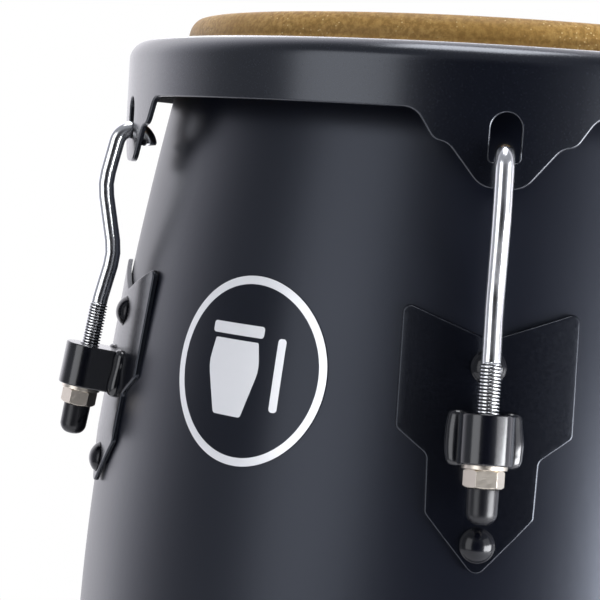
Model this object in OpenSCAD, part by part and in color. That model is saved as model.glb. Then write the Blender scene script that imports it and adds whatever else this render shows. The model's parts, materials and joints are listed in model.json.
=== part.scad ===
// Conga drum: one waisted shell, a hide head pulled over it by a steel rim, and
// five tuning lugs. Each lug is a side plate with a welded block, a hooked rod
// that hangs in the rim, a washer, a nut and a rubber cap on the rod's end.
// Millimetres. The drum's axis is Z, the floor is z = 0, and the badge faces -Y.

/* [Drum] */
// Overall height, from the floor to the playing surface
drum_h = 711; // [680:1:780]
// Radius of the shell at its widest place
belly_r = 170.1; // [169:0.1:172]
// Height of the widest place
belly_z = 424; // [400:1:430]
// Radius of the shell just under the rim
neck_r = 140.1; // [139.5:0.1:140.5]
// Radius of the shell at the floor
base_r = 109; // [100:1:130]
// How the shell swells between these places: 2 is a parabola
swell = 1.75; // [1.7:0.01:1.8]
// Thickness of the shell's wall
wall = 8; // [7:0.5:9]

/* [Head] */
// Radius of the head's upright side
head_r = 134.8; // [134.5:0.1:135]
// Height of the playing surface over the top of the rim
crown = 11.6; // [11:0.1:14]
// Width of the head's rounded shoulder
shoulder_w = 5.8; // [5:0.1:6.5]
// Height of the head's rounded shoulder
shoulder_h = 9.6; // [9:0.1:10]
// Thickness of the hide
hide_t = 1.8; // [1.5:0.1:1.9]

/* [Rim] */
// Outer radius of the rim
rim_r = 160.4; // [160.2:0.1:160.6]
// Thickness of the rim's steel
rim_t = 2.2; // [2:0.1:2.3]
// Radius of the rounding along the rim's top edge
rim_round = 8; // [7:0.5:9]
// Inner radius of the rim's flat top
rim_mouth_r = 140.6; // [140.2:0.1:141]
// Depth of the rim between its ears
band_h = 24.6; // [24:0.1:26]
// Depth of the rim at its ears
ear_h = 52.2; // [51.5:0.1:53]
// Width of the slot that a hook hangs in
slot_w = 11.2; // [10.5:0.1:12]
// Depth of the slot's lower end, where the hook bears
slot_floor = 42.3; // [42.2:0.1:42.4]

/* [Lugs] */
// Lean of the rods away from the drum's axis, degrees
rod_lean = 9; // [8.8:0.1:9.2]
// Diameter of a rod's bare shank
shank_d = 7.1; // [6.9:0.1:7.2]
// Outer diameter of a rod's thread
thread_d = 7.94; // [7.9:0.01:7.96]
// Diameter of the holes that the thread runs through
thread_hole_d = 8.1; // [8.06:0.01:8.14]
// Radius of the bend that hooks over the rim, along the rod's middle
hook_r = 7.1; // [7:0.1:7.3]
// Diameter of a lug block's rounded front
block_d = 20; // [18:0.5:22]
// Height of a lug block
block_h = 18; // [16:0.5:19]
// Width of the weld beads on the side plates, beside the blocks
weld_leg = 4.6; // [3.5:0.1:4.8]
// Thickness of a side plate
plate_t = 2; // [1.6:0.1:2.2]

/* [Fasteners] */
// Width of a tuning nut across its flats
nut_af = 13; // [12.5:0.1:13.5]
// Height of a tuning nut
nut_h = 6.5; // [6:0.1:7]
// Outer diameter of a tuning washer
washer_d = 16.4; // [15:0.1:17]
// Thickness of a tuning washer
washer_t = 1.6; // [1.2:0.1:1.8]
// Outer diameter of a rod's rubber cap
cap_d = 11.4; // [11:0.1:12]
// Height of a rod's rubber cap
cap_h = 13; // [12.8:0.1:14]
// Diameter of a plate bolt's domed head
dome_d = 13; // [12:0.1:14]
// Height of a plate bolt's domed head
dome_h = 3.6; // [3:0.1:4]
// Diameter of a plate bolt's shank
bolt_d = 6; // [5.8:0.1:6]

/* [Trim] */
// Diameter of the round badge
badge_d = 73; // [60:1:78]
// Depth of the badge's middle under the top of the rim
badge_drop = 128.3; // [125:0.1:135]
// Turn of the badge from -Y, degrees
badge_turn = 0.9; // [-2:0.1:2]
// Thickness of the rubber ring that the drum stands on
foot_t = 3; // [2:0.5:4]
// Height of the rubber ring up the outside of the shell
foot_h = 14; // [12:1:18]
// Height of the rubber ring up the inside of the shell
lip_h = 9; // [6:1:10]

/* [Hidden] */
$fn = 144;
lug_count = 5;
first_lug = -54;                        // direction of the first lug from +X, degrees
profile_steps = 44;                     // bands in the shell's curved side
snug = 0.05;                            // gap between neighbours that only rest on each other
thread_clear_r = thread_hole_d / 2;
rim_top = drum_h - crown;               // height of the rim's flat top
neck_z = rim_top - 25;                  // height where neck_r is measured
shell_top = rim_top - 10;               // where the side meets the bearing edge
edge_z = drum_h - hide_t;               // top of the bearing edge
mouth_r = base_r - wall - 2;            // radius of the opening at the floor
edge_in_r = 126.5;                      // inside of the thick ring under the bearing edge
hoop_r = 147;                           // flesh hoop: radius of its ring
hoop_wire_r = 4;                        // flesh hoop: radius of its wire
wrap_r = hoop_wire_r + hide_t;          // radius of the hide wrapped round the hoop
hoop_z = rim_top - rim_t - 0.1 - wrap_r;

// Side plates lie on a cone, straight up and down, that rests on the shell.
plate_lean = 7.46;
plate_slope = tan(plate_lean);
plate_touch_z = rim_top - 141.8;
plate_in_r = shell_r(plate_touch_z) + snug;
plate_out_r = plate_in_r + plate_t;
plate_top = 95.1;                       // depths under the top of the rim
plate_notch = 107;
plate_shoulder = 141.2;
plate_step = 150;
plate_waist = 171;
plate_tip = 193.3;
plate_half_w = 32.8;
plate_step_w = 20.7;
plate_corner_r = 3;
bolt_drops = [116.8, 181];
bolt_hole_d = 6.5;
bolt_len = 24;
bolt_washer_d = 12;                     // washers and nuts inside the shell
bolt_washer_t = 1.2;
bolt_nut_d = 11.5;
bolt_nut_h = 5;
weld_overrun = 1.3;                     // how far the beads run past a block's top and foot

// Backing plates lie inside the shell on a cone of the same lean.
backing_touch_z = rim_top - 192;
backing_r = shell_r(backing_touch_z) - wall - snug;
backing_t = 2;
backing_w = 26;
backing_top = 104;
backing_tip = 194;

// A rod's own frame: its origin is on the rod, level with the top of the block.
rod_r = 173;
rod_z = rim_top - 132;
thread_top = 18.7;
rod_foot = -36.6;
hook_mid_r = 159.3;
hook_mid_z = rim_top - 45.6;
hook_start = 14;                        // where the rod enters the bend, degrees over level
hook_end = 176;
bend_r = 25;                            // radius of the rod's easy bends
bend_lap = 0.35;                        // how far the bends run into the straights that they join
bend_trim = 0.1;                        // how much thinner the bends are than the straights

// ---- shapes shared by the parts ----

// Outer radius of the shell at height z
function shell_r(z) = z > belly_z
    ? belly_r - (belly_r - neck_r) * pow((z - belly_z) / (neck_z - belly_z), swell)
    : belly_r - (belly_r - base_r) * pow((belly_z - z) / belly_z, swell);

// Radius at height z of the outer face of the side plates, and of the backing plates
function plate_r(z) = plate_out_r + plate_slope * (plate_touch_z - z);
function backing_out_r(z) = backing_r + plate_slope * (backing_touch_z - z);

// Points of an arc about [x, y], with separate half widths for an ellipse
function arc(x, y, rx, ry, from, to, steps) =
    [for (i = [0:steps]) let (a = from + (to - from) * i / steps) [x + rx * cos(a), y + ry * sin(a)]];

// One corner of an outline, rounded to radius r between its neighbours
function corner(a, b, c, r, steps = 3) = let (
    u = (a - b) / norm(a - b),
    v = (c - b) / norm(c - b),
    half = acos(u * v) / 2,
    mid = b + (u + v) / norm(u + v) * r / sin(half),
    out = (b - mid) / norm(b - mid),
    side = cross(u, v) > 0 ? -1 : 1
) [for (i = [-steps:steps]) let (t = side * (90 - half) * i / steps)
    mid + r * [out.x * cos(t) - out.y * sin(t), out.x * sin(t) + out.y * cos(t)]];

// A whole outline of [x, y, corner radius] points
function rounded(points) = [for (i = [0:len(points) - 1]) let (
    n = len(points),
    p = [for (k = [-1:1]) let (q = points[(i + k + n) % n]) [q.x, q.y]],
    r = points[i].z
) each (r > 0 ? corner(p[0], p[1], p[2], r) : [p[1]])];

// The right half of an outline and its mirror image
function both_sides(half) = concat(half, [for (i = [len(half) - 1:-1:0]) if (half[i].x != 0)
    [for (j = [0:len(half[i]) - 1]) j == 0 ? -half[i].x : half[i][j]]]);

// Turns the drum so that lug k is along +X
module at_lug(k) rotate([0, 0, first_lug + (k - 1) * 360 / lug_count]) children();
module at_every_lug() for (k = [1:lug_count]) at_lug(k) children();

// A rod's own frame, with Z up along the rod and X away from the drum
module at_rod() translate([rod_r, 0, rod_z]) rotate([0, -rod_lean, 0]) children();

// A bolt's own frame, with its origin on the plate's face and Z out of the shell
module at_bolts() for (drop = bolt_drops)
    translate([plate_r(rim_top - drop), 0, rim_top - drop]) rotate([0, 90 - plate_lean, 0]) children();

module bolt_holes() at_bolts() translate([0, 0, -bolt_len]) cylinder(d = bolt_hole_d, h = 2 * bolt_len);

// An outline of [sideways, height] points pushed out along +X
module outward(points, from, to) translate([from, 0, 0]) rotate([90, 0, 90])
    linear_extrude(to - from) polygon(points);

// A leaning band turned round the drum's axis: inner and outer radius at its top and its foot
module cone_band(z_low, z_high, r_low, r_high, t) rotate_extrude()
    polygon([[r_low, z_low], [r_low + t, z_low], [r_high + t, z_high], [r_high, z_high]]);

// ---- shell and trim ----

module shell_outline() {
    side_h = shell_top - foot_t;
    side = [for (i = [0:profile_steps]) let (z = foot_t + side_h * i / profile_steps) [shell_r(z), z]];
    edge = arc(head_r - shoulder_w, drum_h - shoulder_h, shoulder_w - hide_t, shoulder_h - hide_t, 0, 90, 10);
    lining = [for (i = [profile_steps - 1:-1:0]) side[i] - [wall, 0]];
    bearing_ring = [[edge_in_r, edge_z - 2.5], [edge_in_r, rim_top - 14]];
    polygon(concat(side, edge, bearing_ring, lining));
}

module shell() color([0.06, 0.065, 0.075]) difference() {
    rotate_extrude() shell_outline();
    at_every_lug() bolt_holes();
}

module foot_ring() color([0.03, 0.03, 0.032]) rotate_extrude() {
    low_r = shell_r(foot_t);
    high_r = shell_r(foot_h);
    lip_r = shell_r(lip_h) - wall;
    polygon(rounded([
        [mouth_r, 0, 0],
        [low_r + foot_t - 0.5, 0, 2],
        [high_r + foot_t - 1, foot_h, 1],
        [high_r + snug, foot_h, 0],
        [low_r + snug, foot_t, 0],
        [low_r - wall - snug, foot_t, 0],
        [lip_r - snug, lip_h, 0],
        [mouth_r, lip_h, 0]
    ]));
}

// A solid of the shell's own shape, a little larger, over the badge's height
module badge_backing(out) rotate_extrude() {
    steps = 11;
    badge_z = rim_top - badge_drop;
    reach = badge_d * 0.55;
    side = [for (i = [0:steps]) let (z = badge_z - reach + 2 * reach * i / steps) [shell_r(z) + out, z]];
    polygon(concat([[0, badge_z + reach], [0, badge_z - reach]], side));
}

module badge() color([0.1, 0.1, 0.11]) rotate([0, 0, badge_turn]) difference() {
    foil_t = 0.4;
    intersection() {
        badge_backing(snug + foil_t);
        translate([0, -belly_r / 2, rim_top - badge_drop]) rotate([90, 0, 0])
            cylinder(d = badge_d, h = belly_r);
    }
    badge_backing(snug);
}

// ---- head and rim ----

// The hide runs over the bearing edge, down behind the flesh hoop, under it and back over it.
module hide_head() color([0.72, 0.58, 0.38]) rotate_extrude() {
    shoulder_r = head_r - shoulder_w;
    shoulder_z = drum_h - shoulder_h;
    outside = arc(shoulder_r, shoulder_z, shoulder_w, shoulder_h, 90, 0, 12);
    inside = arc(shoulder_r, shoulder_z, shoulder_w - hide_t, shoulder_h - hide_t, 0, 90, 12);
    round_hoop = arc(hoop_r, hoop_z, hoop_wire_r, hoop_wire_r, 180, 430, 20);
    back_round = arc(hoop_r, hoop_z, wrap_r, wrap_r, 430, 185, 20);
    polygon(concat([[0, drum_h]], outside, round_hoop, back_round, inside, [[0, drum_h - hide_t]]));
}

module flesh_hoop() color([0.6, 0.6, 0.6]) translate([0, 0, hoop_z]) rotate_extrude()
    translate([hoop_r, 0]) circle(r = hoop_wire_r - 0.1);

// Outline of one ear, from the band down to its rounded tip
ear_outline = rounded(both_sides([
    [44, 3 - band_h, 0],
    [33.6, -0.3 - band_h, 5],
    [26.2, -35.6, 4],
    [20.6, -36.8, 4],
    [7.8, -ear_h, 9]
]));

slot_outline = rounded([
    [slot_w / 2, -slot_floor, 0.8],
    [slot_w / 2, 0.1 - band_h, slot_w / 2 - 0.1],
    [-slot_w / 2, 0.1 - band_h, slot_w / 2 - 0.1],
    [-slot_w / 2, -slot_floor, 0.8]
]);

module rim() color([0.05, 0.05, 0.055]) translate([0, 0, rim_top]) difference() {
    skirt_h = ear_h + 2;
    rotate_extrude() polygon(concat(
        [[rim_mouth_r, 0], [rim_mouth_r, -rim_t]],
        arc(rim_r - rim_round, -rim_round, rim_round - rim_t, rim_round - rim_t, 90, 0, 10),
        [[rim_r - rim_t, -skirt_h], [rim_r, -skirt_h]],
        arc(rim_r - rim_round, -rim_round, rim_round, rim_round, 0, 90, 10)
    ));
    difference() {
        translate([0, 0, -skirt_h - 1]) cylinder(r = rim_r + 5, h = skirt_h + 1 - band_h);
        at_every_lug() outward(ear_outline, rim_r - 30, rim_r + 10);
    }
    at_every_lug() outward(slot_outline, rim_r - 15, rim_r + 5);
}

// ---- lugs ----

plate_outline = rounded(both_sides([
    [plate_half_w, -plate_top, plate_corner_r],
    [plate_half_w, -plate_shoulder, plate_corner_r],
    [plate_step_w, -plate_step, plate_corner_r],
    [plate_step_w - 0.6, -plate_waist, plate_corner_r],
    [0, -plate_tip, 4],
    [0, -plate_notch, 2.5]
]));

module side_plate(k) color([0.04, 0.04, 0.045]) at_lug(k) difference() {
    z_low = rim_top - plate_tip - 5;
    z_high = rim_top - plate_top + 5;
    intersection() {
        cone_band(z_low, z_high, plate_r(z_low) - plate_t, plate_r(z_high) - plate_t, plate_t);
        translate([0, 0, rim_top]) outward(plate_outline, belly_r - 50, belly_r + 20);
    }
    bolt_holes();
}

// Everything inside the outer face of the side plates
module inside_plates() rotate_extrude($fn = 360) let (z_low = rim_top - 200, z_high = rim_top - 80)
    polygon([[0, z_low], [plate_r(z_low), z_low], [plate_r(z_high), z_high], [0, z_high]]);

module block_sides() translate([-block_d, -block_d / 2]) square([block_d, block_d]);
module block_prism() translate([0, 0, -block_h]) linear_extrude(block_h) union() {
    circle(d = block_d);
    block_sides();
}

module lug_block(k) color([0.03, 0.03, 0.035]) at_lug(k) difference() {
    at_rod() difference() {
        block_prism();
        translate([0, 0, -block_h - 1]) cylinder(r = thread_clear_r, h = block_h + 2);
    }
    inside_plates();
}

module lug_welds() color([0.04, 0.04, 0.045]) at_every_lug() for (side = [0, 1]) mirror([0, side, 0])
    difference() {
        bead_h = block_h + 2 * weld_overrun;
        at_rod() translate([-16, block_d / 2, weld_overrun - bead_h]) linear_extrude(bead_h) polygon(rounded([
            [0, 0, 0],
            [7.2, 0, 0],
            [7.2, weld_leg, weld_leg - 0.4],
            [0, weld_leg, 0]
        ]));
        inside_plates();
    }

// A straight stretch of round bar between two [radius, height] points
module bar(a, b, d) translate([a.x, 0, a.y]) rotate([0, atan2(b.x - a.x, b.y - a.y), 0])
    cylinder(d = d, h = norm(b - a));

// A bent stretch about a [radius, height] point, between two angles over level
module bend(mid, r, from, to) {
    lap = bend_lap / r * 180 / PI;
    translate([mid.x, 0, mid.y]) rotate([90, 0, 0]) rotate([0, 0, from - lap])
        rotate_extrude(angle = to - from + 2 * lap) translate([r, 0]) circle(d = shank_d - bend_trim);
}

// The bare rod's corners: above the thread, at the inward bend, at the outward bend
rod_corners = [
    [rod_r - (thread_top + 2) * sin(rod_lean), rod_z + (thread_top + 2) * cos(rod_lean)],
    [164.9, rim_top - 92],
    [170.4, rim_top - 62.5],
    [hook_mid_r + hook_r * cos(hook_start), hook_mid_z + hook_r * sin(hook_start)]
];
// The bare rod starts a little way inside the thread
rod_start = [rod_r - (thread_top - 1) * sin(rod_lean), rod_z + (thread_top - 1) * cos(rod_lean)];

function bend_angle(a, b, c) = acos(((b - a) * (c - b)) / norm(b - a) / norm(c - b));
function bend_reach(a, b, c) = bend_r * tan(bend_angle(a, b, c) / 2);
function toward(a, b, reach) = a + (b - a) / norm(b - a) * reach;

// The bend at corner b, between the straights that run to a and to c
module corner_bend(a, b, c) {
    reach = bend_reach(a, b, c);
    p = toward(b, a, reach);
    q = toward(b, c, reach);
    mid = b + (p + q - 2 * b) / norm(p + q - 2 * b) * norm([reach, bend_r]);
    half = bend_angle(a, b, c) / 2;
    middle = atan2(b.y - mid.y, b.x - mid.x);
    bend(mid, bend_r, middle - half, middle + half);
}

module tension_hook(k) color([0.85, 0.86, 0.88]) at_lug(k) {
    path = concat([rod_start], rod_corners);
    last = len(path) - 1;
    reach = [for (i = [0:last]) i == 0 || i == last ? 0 : bend_reach(path[i - 1], path[i], path[i + 1])];
    union() {
        at_rod() translate([0, 0, rod_foot]) cylinder(d = thread_d, h = thread_top - rod_foot);
        for (i = [0:last - 1])
            bar(toward(path[i], path[i + 1], reach[i]), toward(path[i + 1], path[i], reach[i + 1]), shank_d);
        for (i = [1:last - 1]) corner_bend(path[i - 1], path[i], path[i + 1]);
        bend([hook_mid_r, hook_mid_z], hook_r, hook_start, hook_end);
    }
}

module tuning_washer(k) color([0.72, 0.7, 0.66]) at_lug(k) at_rod() translate([0, 0, -block_h - washer_t])
    difference() {
        cylinder(d = washer_d, h = washer_t - 0.02);
        translate([0, 0, -1]) cylinder(r = thread_clear_r, h = washer_t + 2);
    }

nut_z = -block_h - washer_t - 0.04 - nut_h;

module tuning_nut(k) color([0.75, 0.72, 0.67]) at_lug(k) at_rod() translate([0, 0, nut_z]) difference() {
    corner_r = nut_af / 2 / cos(30);
    chamfer = corner_r - nut_af / 2 + 0.3;
    intersection() {
        cylinder(r = corner_r, h = nut_h, $fn = 6);
        rotate_extrude() polygon([
            [0, 0], [corner_r - chamfer, 0], [corner_r, chamfer * tan(30)],
            [corner_r, nut_h - chamfer * tan(30)], [corner_r - chamfer, nut_h], [0, nut_h]
        ]);
    }
    translate([0, 0, -1]) cylinder(r = thread_clear_r, h = nut_h + 2);
}

module rod_cap(k) color([0.03, 0.03, 0.03]) at_lug(k) at_rod() translate([0, 0, nut_z - snug]) difference() {
    bore_depth = 11.2;
    cap_r = cap_d / 2;
    rotate_extrude() polygon(concat(
        [[0, 0], [cap_r, 0], [cap_r, -2]],
        arc(cap_r - 4.4, -cap_h + 4.4, 4.2, 4.4, 0, -90, 8),
        [[0, -cap_h]]
    ));
    translate([0, 0, -bore_depth]) cylinder(r = thread_clear_r, h = bore_depth + 1);
}

// ---- fasteners of the side plates ----

module plate_bolts(k) color([0.04, 0.04, 0.045]) at_lug(k) at_bolts() union() {
    sphere_r = (dome_d * dome_d / 4 + dome_h * dome_h) / (2 * dome_h);
    lift = 0.02;
    rotate_extrude() polygon(concat(
        [[0, lift], [dome_d / 2, lift]],
        arc(0, dome_h - sphere_r, sphere_r, sphere_r, asin((sphere_r - dome_h + 0.5) / sphere_r), 90, 8)
    ));
    translate([0, 0, -bolt_len]) cylinder(d = bolt_d, h = bolt_len + 1);
}

module backing_plate(k) color([0.55, 0.55, 0.55]) at_lug(k) difference() {
    z_low = rim_top - backing_tip - 5;
    z_high = rim_top - backing_top + 5;
    r_low = backing_out_r(z_low) - backing_t;
    r_high = backing_out_r(z_high) - backing_t;
    intersection() {
        cone_band(z_low, z_high, r_low, r_high, backing_t);
        translate([0, 0, rim_top]) outward(rounded([
            [backing_w / 2, -backing_tip, 4], [backing_w / 2, -backing_top, 4],
            [-backing_w / 2, -backing_top, 4], [-backing_w / 2, -backing_tip, 4]
        ]), belly_r - 50, belly_r);
    }
    bolt_holes();
}

// Depth of the backing plates' inner face behind the side plates' outer face, along a bolt
inner_face = (plate_r(plate_touch_z) - backing_out_r(plate_touch_z)) * cos(plate_lean) + backing_t;

module bolt_washers() color([0.7, 0.7, 0.7]) at_every_lug() at_bolts()
    translate([0, 0, -inner_face - bolt_washer_t - 0.5]) difference() {
        cylinder(d = bolt_washer_d, h = bolt_washer_t);
        translate([0, 0, -1]) cylinder(d = bolt_hole_d, h = bolt_washer_t + 2);
    }

module bolt_nuts() color([0.7, 0.7, 0.7]) at_every_lug() at_bolts()
    translate([0, 0, -inner_face - bolt_washer_t - 0.55 - bolt_nut_h]) difference() {
        cylinder(d = bolt_nut_d, h = bolt_nut_h, $fn = 6);
        translate([0, 0, -1]) cylinder(d = bolt_d + snug, h = bolt_nut_h + 2);
    }

shell();
foot_ring();
badge();
hide_head();
flesh_hoop();
rim();
lug_welds();
bolt_washers();
bolt_nuts();
for (k = [1:lug_count]) {
    side_plate(k);
    lug_block(k);
    tension_hook(k);
    tuning_washer(k);
    tuning_nut(k);
    rod_cap(k);
    plate_bolts(k);
    backing_plate(k);
}
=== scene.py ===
"""A conga drum: detailed meshes, materials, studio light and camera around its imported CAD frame.

Everything is in metres in the CAD frame: Z is the drum's axis, the floor is z = 0 and the badge
faces -Y. Places near the head are given as depths under RIM_TOP, the highest line of the rim.
"""
import json
import math

import bmesh
import bpy
from mathutils import Matrix, Vector, noise


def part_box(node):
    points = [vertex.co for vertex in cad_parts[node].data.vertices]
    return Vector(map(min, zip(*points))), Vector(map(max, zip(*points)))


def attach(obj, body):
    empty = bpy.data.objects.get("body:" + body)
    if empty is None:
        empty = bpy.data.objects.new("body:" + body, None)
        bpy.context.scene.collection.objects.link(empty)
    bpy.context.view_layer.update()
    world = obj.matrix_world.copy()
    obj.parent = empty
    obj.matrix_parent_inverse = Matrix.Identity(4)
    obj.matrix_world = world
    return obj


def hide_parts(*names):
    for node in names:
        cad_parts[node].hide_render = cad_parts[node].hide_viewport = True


MM = 0.001

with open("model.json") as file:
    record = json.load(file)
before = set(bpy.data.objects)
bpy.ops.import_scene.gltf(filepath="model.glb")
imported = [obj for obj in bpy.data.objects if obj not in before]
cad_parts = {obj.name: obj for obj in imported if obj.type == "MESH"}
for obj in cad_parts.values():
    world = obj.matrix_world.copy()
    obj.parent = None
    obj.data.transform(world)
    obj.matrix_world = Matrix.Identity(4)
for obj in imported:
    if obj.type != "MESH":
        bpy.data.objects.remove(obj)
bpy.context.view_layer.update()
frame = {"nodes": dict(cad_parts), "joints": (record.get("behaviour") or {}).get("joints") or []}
joints = {joint["name"]: joint for joint in frame["joints"]}

# ---- sizes, read off the frame where it has them ----
#
# Corners are (sideways from the lug, depth, corner radius) in mm.

LUGS = range(1, 6)

# The rim: a band with a rounded shoulder, a dished top, and an ear with a slot at each lug.
RIM_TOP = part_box("rim")[1].z
RIM_R = 160.4 * MM
RIM_MOUTH_R = 140.6 * MM
RIM_T = 2.2 * MM
RIM_ROUND = 8 * MM
RIM_DISH = 1.5 * MM
LIP_ROUND = 0.6 * MM
BAND_H = 24.6 * MM
BAND_FLAT = RIM_ROUND + 2 * MM
EAR_H = 52.2 * MM
EAR_CORNERS = [(33.6, BAND_H / MM, 8), (26.2, 35.6, 6), (20.6, 36.8, 7), (7.8, EAR_H / MM, 10)]
EAR_END = 45 * MM
SLOT_W = 11.2 * MM
SLOT_FLOOR = 42.3 * MM
SLOT_CORNER = 1.5 * MM
PLATE_EDGE_R = 0.8 * MM

# The shell, its foot and its head.
DRUM_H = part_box("hide_head")[1].z
FOOT_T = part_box("shell")[0].z
BELLY_R = 170.1 * MM
BELLY_Z = 424 * MM
NECK_R = 140.1 * MM
NECK_Z = RIM_TOP - 25 * MM
BASE_R = 109 * MM
SWELL = 1.75
WALL = 8 * MM
SHELL_TOP = RIM_TOP - 10 * MM
BEARING_R = 126.5 * MM
BEARING_DROP = 2.5 * MM
BEARING_FOOT = RIM_TOP - 14 * MM
FOOT_H = 14 * MM
FOOT_LIP = 9 * MM
FOOT_MOUTH_R = BASE_R - WALL - 2 * MM
HEAD_R = 134.8 * MM
SHOULDER_W = 5.8 * MM
SHOULDER_H = 9.6 * MM
HIDE_T = 1.8 * MM
HIDE_FLAT_R = 100 * MM
HOOP_R = 147 * MM
HOOP_WIRE_R = 4 * MM

# The lugs: side plates, blocks with their welds, and the bolts through the plates.
PLATE_LEAN = math.radians(7.46)
PLATE_T = 2 * MM
PLATE_TOUCH_Z = RIM_TOP - 141.8 * MM
PLATE_CORNERS = [(32.8, 95.1, 3), (32.8, 141.2, 3), (20.7, 150, 3), (20.1, 171, 3), (0, 193.3, 4)]
PLATE_NOTCH = (0, 107, 2.5)
BLOCK_R = 10 * MM
BLOCK_H = 18 * MM
BLOCK_BACK = 13.4 * MM
WELD_LEG = 4.6 * MM
WELD_DEPTH = WELD_LEG * 0.72
WELD_OVERRUN = 1.3 * MM
WELD_X = -12.9 * MM
WELD_WANDER = 0.9 * MM
BOLT_DEPTHS = (116.8 * MM, 181 * MM)
BOLT_HEAD_R = 6.5 * MM
BOLT_HEAD_H = 3.6 * MM
BOLT_R = 3 * MM
BOLT_LENGTH = 24 * MM

# The tension rods and what is threaded on them. Heights are along the rod, from the block's top.
ROD_LEAN = math.radians(9)
SHANK_R = 3.55 * MM
THREAD_R = 4.05 * MM
THREAD_ROOT_R = 3.2 * MM
PITCH = 1.25 * MM
THREAD_TOP = 18.7 * MM
THREAD_FOOT = -36.6 * MM
THREAD_LENGTH = THREAD_TOP - THREAD_FOOT
BEND_R = 25 * MM
BENDS = [(164.9 * MM, RIM_TOP - 92 * MM), (170.4 * MM, RIM_TOP - 62.5 * MM)]
HOOK_MIDDLE = (159.3 * MM, RIM_TOP - 45.6 * MM)
HOOK_R = 7.1 * MM
HOOK_FROM, HOOK_TO = 14, 176
BORE_R = THREAD_R
WASHER_R = 8.2 * MM
WASHER_T = 1.6 * MM
WASHER_TOP = -BLOCK_H - 0.02 * MM
WASHER_EDGE = 0.15 * MM
NUT_AF = 13 * MM
NUT_H = 6.5 * MM
NUT_TOP = -BLOCK_H - WASHER_T - 0.04 * MM
NUT_MOUTH_R = 4.5 * MM
NUT_TURNS = [5, 17, 28, 9, 22]
CAP_R = 5.7 * MM
CAP_H = 13 * MM
CAP_TOP = NUT_TOP - NUT_H - 0.05 * MM
CAP_BORE_DEPTH = 11.2 * MM
CAP_DOME_R = 4.3 * MM

# The badge.
BADGE_R = 36.5 * MM
BADGE_TURN = Matrix.Rotation(math.radians(0.9), 4, "Z")
BADGE_Z = RIM_TOP - 128.3 * MM
BADGE_GAP = 0.05 * MM
BADGE_T = 0.35 * MM
BADGE_RING_W = 3.3 * MM
PRINT_FACE = 0.47 * MM
PRINT_T = 0.08 * MM


def shell_r(z):
    """Outer radius of the shell at height z: widest at the belly and narrower towards both ends."""
    if z > BELLY_Z:
        return BELLY_R - (BELLY_R - NECK_R) * ((z - BELLY_Z) / (NECK_Z - BELLY_Z)) ** SWELL
    return BELLY_R - (BELLY_R - BASE_R) * ((BELLY_Z - z) / BELLY_Z) ** SWELL


def plate_r(z):
    """Radius of the side plates' outer face at height z."""
    return shell_r(PLATE_TOUCH_Z) + PLATE_T + math.tan(PLATE_LEAN) * (PLATE_TOUCH_Z - z)


def lug_azimuth(k):
    """The direction of lug k round the drum."""
    place = joints[f"nut_{k}_turn"]["pos_m"]
    return math.atan2(place[1], place[0])


def lug_frame(k):
    """The drum turned so that +X points out through lug k."""
    return Matrix.Rotation(lug_azimuth(k), 4, "Z")


def rod_frame(k):
    """Lug k's rod: the origin level with the block's top, Z up the rod, X away from the drum."""
    place = Vector(joints[f"nut_{k}_turn"]["pos_m"])
    return Matrix.Translation(place) @ lug_frame(k) @ Matrix.Rotation(-ROD_LEAN, 4, "Y")


# ---- outlines ----

def clamp(value):
    """A number held between 0 and 1."""
    return max(0.0, min(1.0, value))


def polar(r, angle, z):
    """The point at a radius, an angle round Z and a height."""
    return Vector((r * math.cos(angle), r * math.sin(angle), z))


def arc(x, y, rx, ry, start, end, steps):
    """Points of an elliptic arc between two angles in degrees."""
    angles = [math.radians(start + (end - start) * i / steps) for i in range(steps + 1)]
    return [(x + rx * math.cos(a), y + ry * math.sin(a)) for a in angles]


def rounded(points, closed=True, steps=8):
    """(x, y, corner radius) points as a round-cornered outline. steps is for a right angle."""
    out = []
    n = len(points)
    for i, (x, y, r) in enumerate(points):
        here = Vector((x, y))
        if r <= 0 or (not closed and i in (0, n - 1)):
            out.append((x, y))
            continue
        a = (Vector(points[i - 1][:2]) - here).normalized()
        b = (Vector(points[(i + 1) % n][:2]) - here).normalized()
        half = a.angle(b) / 2
        middle = here + (a + b).normalized() * (r / math.sin(half))
        start = here + a * (r / math.tan(half)) - middle
        sweep = math.copysign(math.pi - 2 * half, a.angle_signed(b))
        count = max(2, round(steps * abs(sweep) / (math.pi / 2)))
        for s in range(count + 1):
            t = sweep * s / count
            out.append((middle.x + start.x * math.cos(t) - start.y * math.sin(t),
                        middle.y + start.x * math.sin(t) + start.y * math.cos(t)))
    return out


def offset(points, distance, closed):
    """An outline moved to the left of its own direction, point for point."""
    out = []
    n = len(points)
    for i, point in enumerate(points):
        here = Vector(point)
        before, after = Vector(points[i - 1]), Vector(points[(i + 1) % n])
        edges = [(here - before) if closed or i > 0 else (after - here),
                 (after - here) if closed or i < n - 1 else (here - before)]
        a, b = [Vector((-e.y, e.x)).normalized() for e in edges]
        out.append(tuple(here + (a + b) * (distance / (1 + a.dot(b)))))
    return out


def mirrored(half):
    """The right half of an outline and its mirror image."""
    return half + [(-p[0], *p[1:]) for p in reversed(half) if p[0] != 0]


# ---- mesh helpers ----

def finish_piece(obj, body, materials, smooth=40.0):
    """Gives a new piece its materials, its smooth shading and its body."""
    for material in materials:
        obj.data.materials.append(material)
    obj.data.shade_smooth()
    obj.data.set_sharp_from_angle(angle=math.radians(smooth))
    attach(obj, body)


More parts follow.
